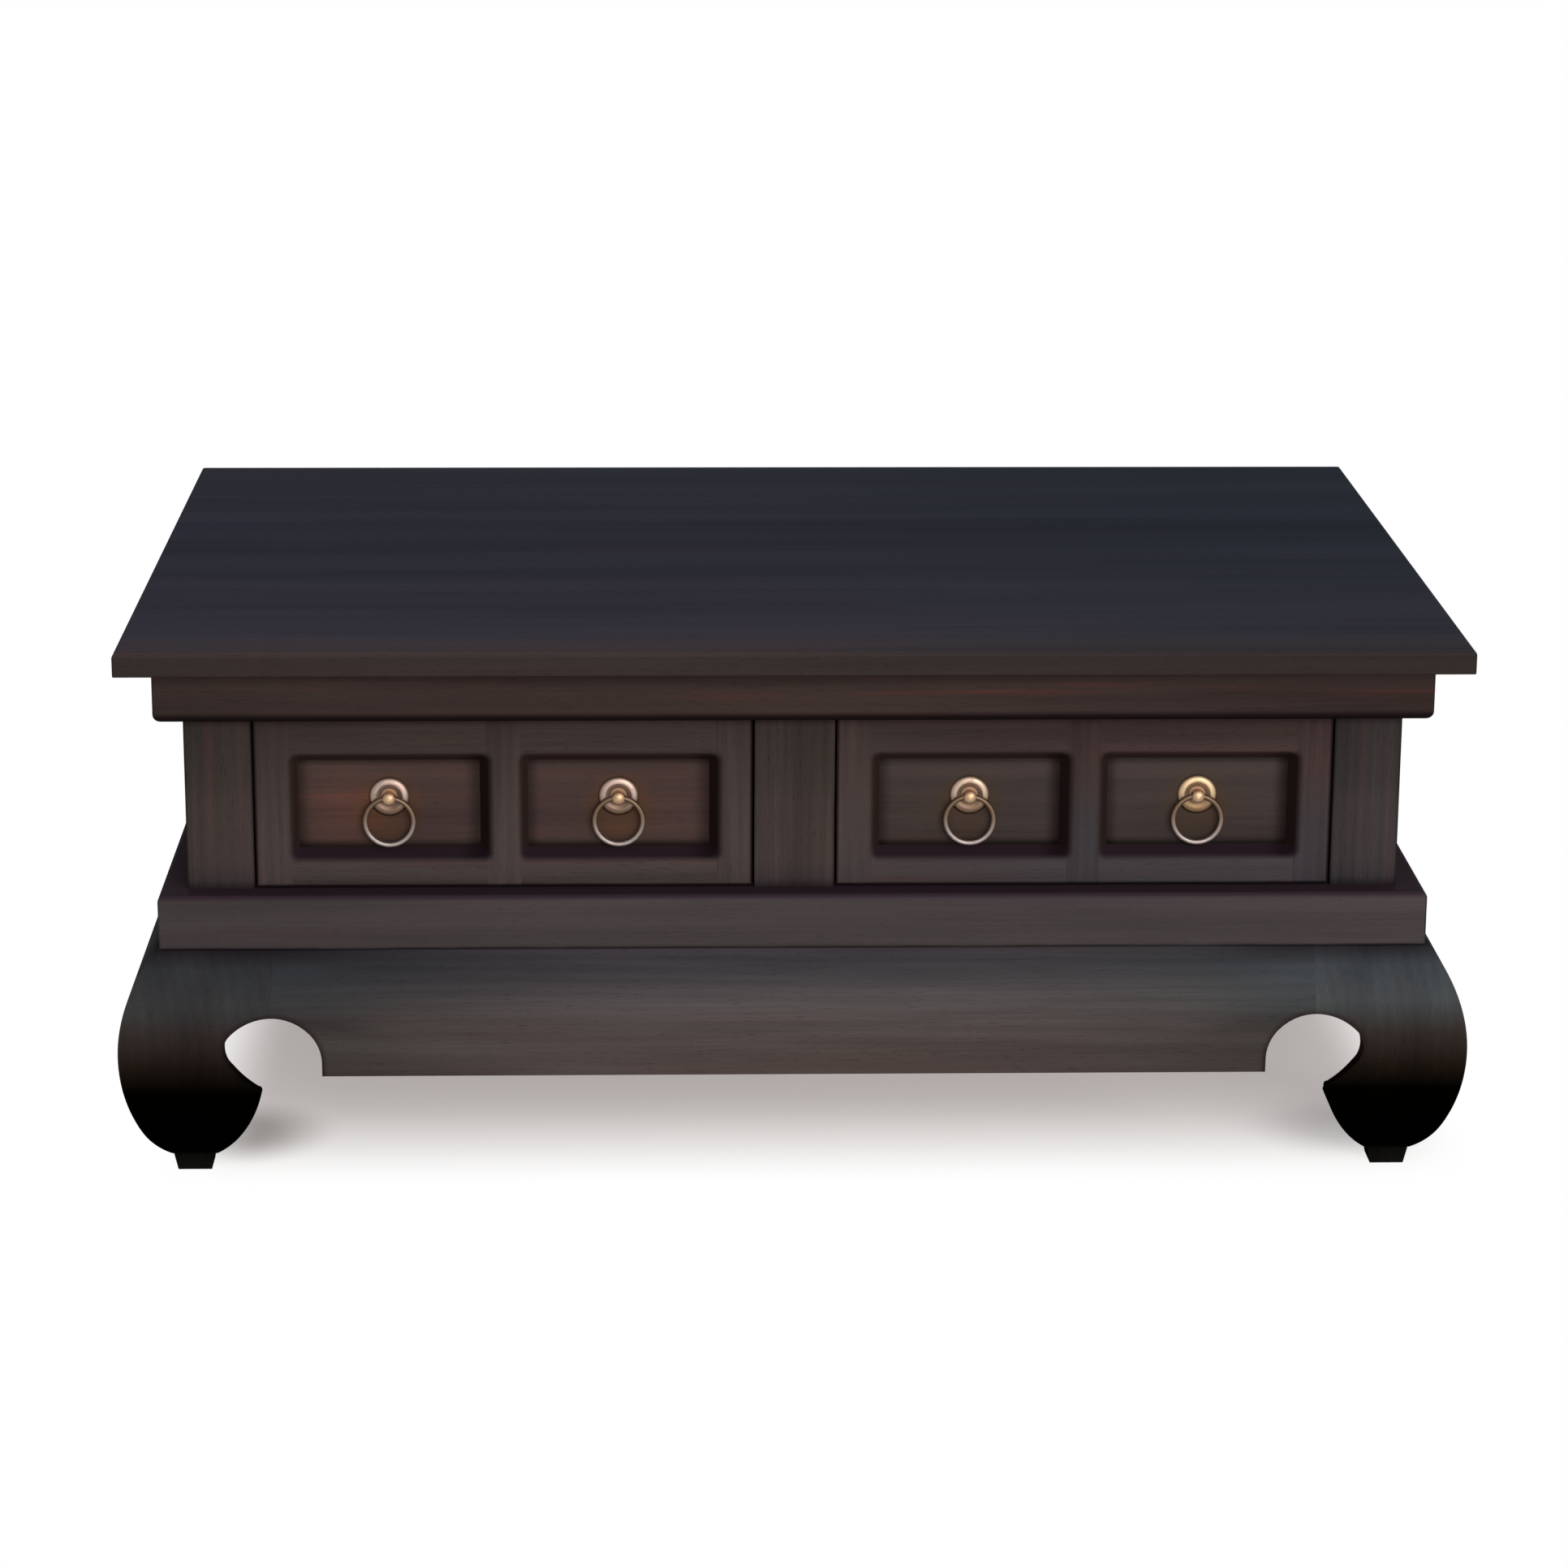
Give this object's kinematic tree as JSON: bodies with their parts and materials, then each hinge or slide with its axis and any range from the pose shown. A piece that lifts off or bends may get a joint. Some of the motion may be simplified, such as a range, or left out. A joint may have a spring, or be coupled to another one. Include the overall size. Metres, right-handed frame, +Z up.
{
  "type": "kang table",
  "caption": "Low mahogany kang table: slab top over a recessed storey with drawers on brass drop rings, on bowed aprons and inward-turned horse-hoof legs.",
  "frame": {"origin": "on the floor, under the middle of the top", "axes": "+X to the right along the length, +Y to the back, +Z up; the drawers open towards -Y"},
  "size_m": [1.112, 0.762, 0.4525],
  "materials": {
    "top_mahogany": "satin",
    "dark_mahogany": "satin",
    "drawer_panel_mahogany": "satin",
    "leg_mahogany": "satin",
    "inner_wood": "oiled",
    "brass": "polished",
    "steel": "plain"
  },
  "bodies": {
    "table": {"apron_back": "dark_mahogany", "apron_front": "dark_mahogany", "apron_left": "dark_mahogany", "apron_right": "dark_mahogany", "back_muntin": "dark_mahogany", "back_panels": "dark_mahogany", "centre_batten": "inner_wood", "centre_guide": "inner_wood", "centre_partition": "inner_wood", "cornice_back": "dark_mahogany", "cornice_front": "dark_mahogany", "cornice_left": "dark_mahogany", "cornice_right": "dark_mahogany", "drawer_stops": "inner_wood", "dust_boards": "inner_wood", "foot_pads": "leg_mahogany", "front_muntin": "dark_mahogany", "glue_blocks": "inner_wood", "leg_back_left": "leg_mahogany", "leg_back_right": "leg_mahogany", "leg_front_left": "leg_mahogany", "leg_front_right": "leg_mahogany", "post_back_left": "dark_mahogany", "post_back_right": "dark_mahogany", "post_front_left": "dark_mahogany", "post_front_right": "dark_mahogany", "side_guides": "inner_wood", "side_panel_left": "dark_mahogany", "side_panel_right": "dark_mahogany", "top_battens": "inner_wood", "top_panel": "top_mahogany", "top_screws": "steel", "waist_back": "dark_mahogany", "waist_cross_rail": "inner_wood", "waist_front": "dark_mahogany", "waist_left": "dark_mahogany", "waist_right": "dark_mahogany"},
    "drawer_left": {"drawer_left_back": "inner_wood", "drawer_left_bottom": "inner_wood", "drawer_left_front": "dark_mahogany", "drawer_left_panels": "drawer_panel_mahogany", "drawer_left_post_nuts": "steel", "drawer_left_ring_posts": "brass", "drawer_left_rosettes": "brass", "drawer_left_side_left": "inner_wood", "drawer_left_side_right": "inner_wood"},
    "drawer_right": {"drawer_right_back": "inner_wood", "drawer_right_bottom": "inner_wood", "drawer_right_front": "dark_mahogany", "drawer_right_panels": "drawer_panel_mahogany", "drawer_right_post_nuts": "steel", "drawer_right_ring_posts": "brass", "drawer_right_rosettes": "brass", "drawer_right_side_left": "inner_wood", "drawer_right_side_right": "inner_wood"},
    "ring_left_inner": {"ring_left_inner": "brass"},
    "ring_left_outer": {"ring_left_outer": "brass"},
    "ring_right_inner": {"ring_right_inner": "brass"},
    "ring_right_outer": {"ring_right_outer": "brass"}
  },
  "joints": [
    {"name": "drawer_left_slide", "type": "slide", "parent": "table", "child": "drawer_left", "axis": [0, -1, 0], "range_m": [0, 0.45]},
    {"name": "drawer_right_slide", "type": "slide", "parent": "table", "child": "drawer_right", "axis": [0, -1, 0], "range_m": [0, 0.45]},
    {"name": "ring_left_outer_swing", "type": "hinge", "parent": "drawer_left", "child": "ring_left_outer", "pos_m": [-0.33325, -0.3244, 0.31732], "axis": [-1, 0, 0], "range_deg": [-3, 165]},
    {"name": "ring_left_inner_swing", "type": "hinge", "parent": "drawer_left", "child": "ring_left_inner", "pos_m": [-0.14475, -0.3244, 0.31732], "axis": [-1, 0, 0], "range_deg": [-3, 165]},
    {"name": "ring_right_outer_swing", "type": "hinge", "parent": "drawer_right", "child": "ring_right_outer", "pos_m": [0.33325, -0.3244, 0.31732], "axis": [-1, 0, 0], "range_deg": [-3, 165]},
    {"name": "ring_right_inner_swing", "type": "hinge", "parent": "drawer_right", "child": "ring_right_inner", "pos_m": [0.14475, -0.3244, 0.31732], "axis": [-1, 0, 0], "range_deg": [-3, 165]}
  ]
}
